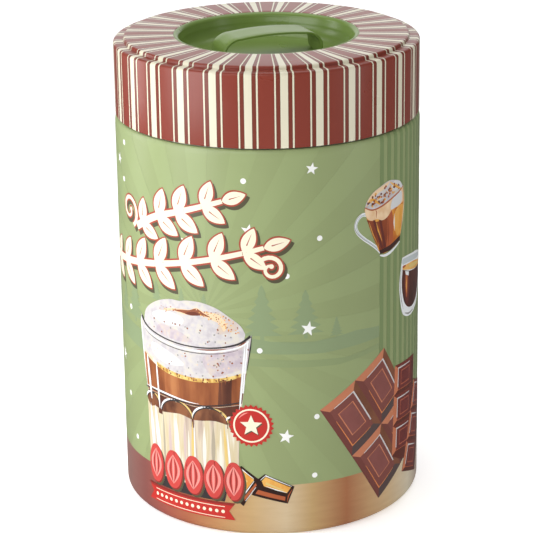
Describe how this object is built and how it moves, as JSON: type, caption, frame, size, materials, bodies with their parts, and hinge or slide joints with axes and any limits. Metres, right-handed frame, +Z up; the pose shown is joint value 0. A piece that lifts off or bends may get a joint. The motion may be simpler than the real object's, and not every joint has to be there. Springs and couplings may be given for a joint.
{
  "type": "round lithographed tin",
  "caption": "Round printed steel canister with a necked-in top and a deep slip-on lid, which has a finger well and a flush strap handle to lift it by.",
  "frame": {"origin": "on the axis, on the surface that the tin stands on", "axes": "+Z up the axis, the longest extent; -Y is the front of the printed picture"},
  "size_m": [0.115, 0.115, 0.1813],
  "materials": {
    "wall_print": "sage green offset print under gloss varnish",
    "lid_print": "brick red and cream stripes under gloss varnish",
    "green_lacquer": "glossy leaf green lacquer",
    "tinplate": "plain rolled tinplate with a clear lacquer",
    "silicone": "matt translucent white silicone"
  },
  "bodies": {
    "canister": {"body_wall": "wall_print", "bottom_end": "tinplate"},
    "lid": {"lid_shell": "lid_print", "lid_well": "green_lacquer", "lid_seal_ring": "silicone", "handle_strap": "green_lacquer"}
  },
  "joints": [
    {"name": "lid_lift", "type": "slide", "parent": "canister", "child": "lid", "axis": [0, 0, 1], "range_m": [0, 0.06]}
  ]
}
